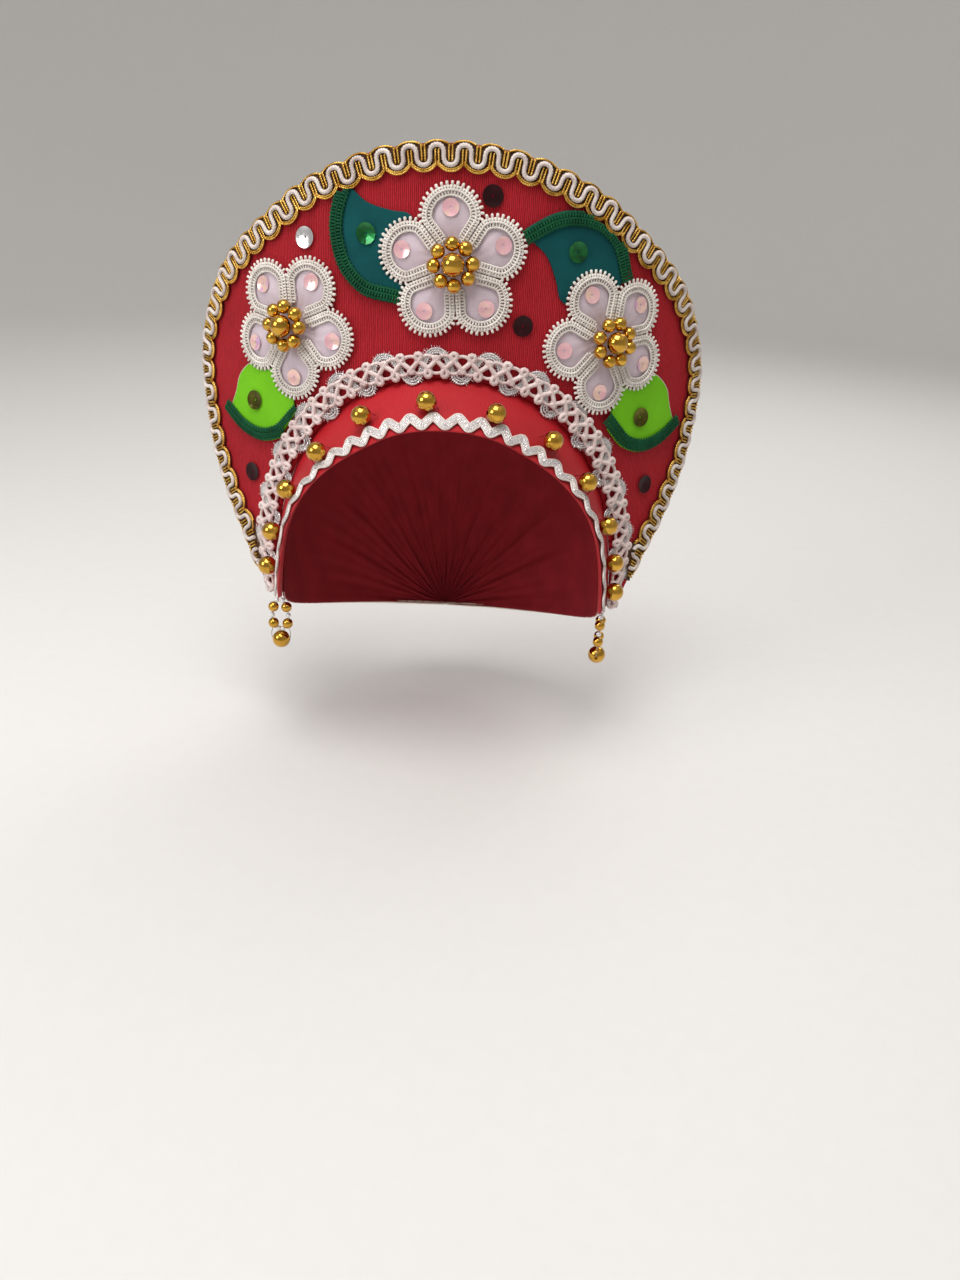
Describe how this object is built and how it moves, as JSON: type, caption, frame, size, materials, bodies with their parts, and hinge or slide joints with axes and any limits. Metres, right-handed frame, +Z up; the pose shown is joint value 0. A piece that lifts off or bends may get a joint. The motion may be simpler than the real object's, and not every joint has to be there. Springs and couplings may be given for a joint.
{
  "type": "kokoshnik headdress",
  "caption": "Fan-shaped folk headdress: a curved upright board with applied flowers, leaves, braid and beads, on a satin headband with a soft cap behind it and bead loops at the temples.",
  "frame": {"origin": "where the crown of the head touches the inside of the cap, in the middle plane", "axes": "+Z up as worn, -Y towards the front, +X towards the viewer's right"},
  "size_m": [0.2826, 0.1179, 0.2648],
  "materials": {
    "red_crepe": "ribbed crepe, matte",
    "red_satin": "satin",
    "red_lining": "matte",
    "gold_and_white_braid": "white cord with metallic gold threads",
    "white_lace": "matte",
    "silver_tape": "metallic thread",
    "pale_satin": "satin",
    "cream_cord": "matte cord",
    "gold_beads": "metallised gold",
    "teal_cloth": "matte",
    "lime_cloth": "matte",
    "green_cord": "matte cord",
    "silver_sequin": "metallised silver",
    "dark_red_sequin": "metallised dark red",
    "green_sequin": "metallised green, faceted",
    "olive_sequin": "metallised olive"
  },
  "bodies": {
    "root": {"fan_board": "red_crepe", "headband": "red_satin", "cap": "red_lining", "edge_braid": "gold_and_white_braid", "lace_trim": "white_lace", "ric_rac": "silver_tape", "petals_left": "pale_satin", "petals_middle": "pale_satin", "petals_right": "pale_satin", "petal_cord_left": "cream_cord", "petal_cord_middle": "cream_cord", "petal_cord_right": "cream_cord", "band_bead_01": "gold_beads", "band_bead_02": "gold_beads", "band_bead_03": "gold_beads", "band_bead_04": "gold_beads", "band_bead_05": "gold_beads", "band_bead_06": "gold_beads", "band_bead_07": "gold_beads", "band_bead_08": "gold_beads", "band_bead_09": "gold_beads", "band_bead_10": "gold_beads", "band_bead_11": "gold_beads", "band_bead_12": "gold_beads", "bead_ring_left": "gold_beads", "bead_ring_middle": "gold_beads", "bead_ring_right": "gold_beads", "flower_bead_left": "gold_beads", "flower_bead_middle": "gold_beads", "flower_bead_right": "gold_beads", "temple_loop_left": "gold_beads", "temple_loop_right": "gold_beads", "temple_bead_left": "gold_beads", "temple_bead_right": "gold_beads", "leaf_upper_left": "teal_cloth", "leaf_upper_right": "teal_cloth", "leaf_lower_left": "lime_cloth", "leaf_lower_right": "lime_cloth", "leaf_cord_upper_left": "green_cord", "leaf_cord_upper_right": "green_cord", "leaf_cord_lower_left": "green_cord", "leaf_cord_lower_right": "green_cord", "sequin_silver": "silver_sequin", "sequin_red_top": "dark_red_sequin", "sequin_red_middle": "dark_red_sequin", "sequin_red_left": "dark_red_sequin", "sequin_red_right": "dark_red_sequin", "sequin_upper_left": "green_sequin", "sequin_upper_right": "green_sequin", "sequin_lower_left": "olive_sequin", "sequin_lower_right": "olive_sequin"}
  },
  "joints": []
}
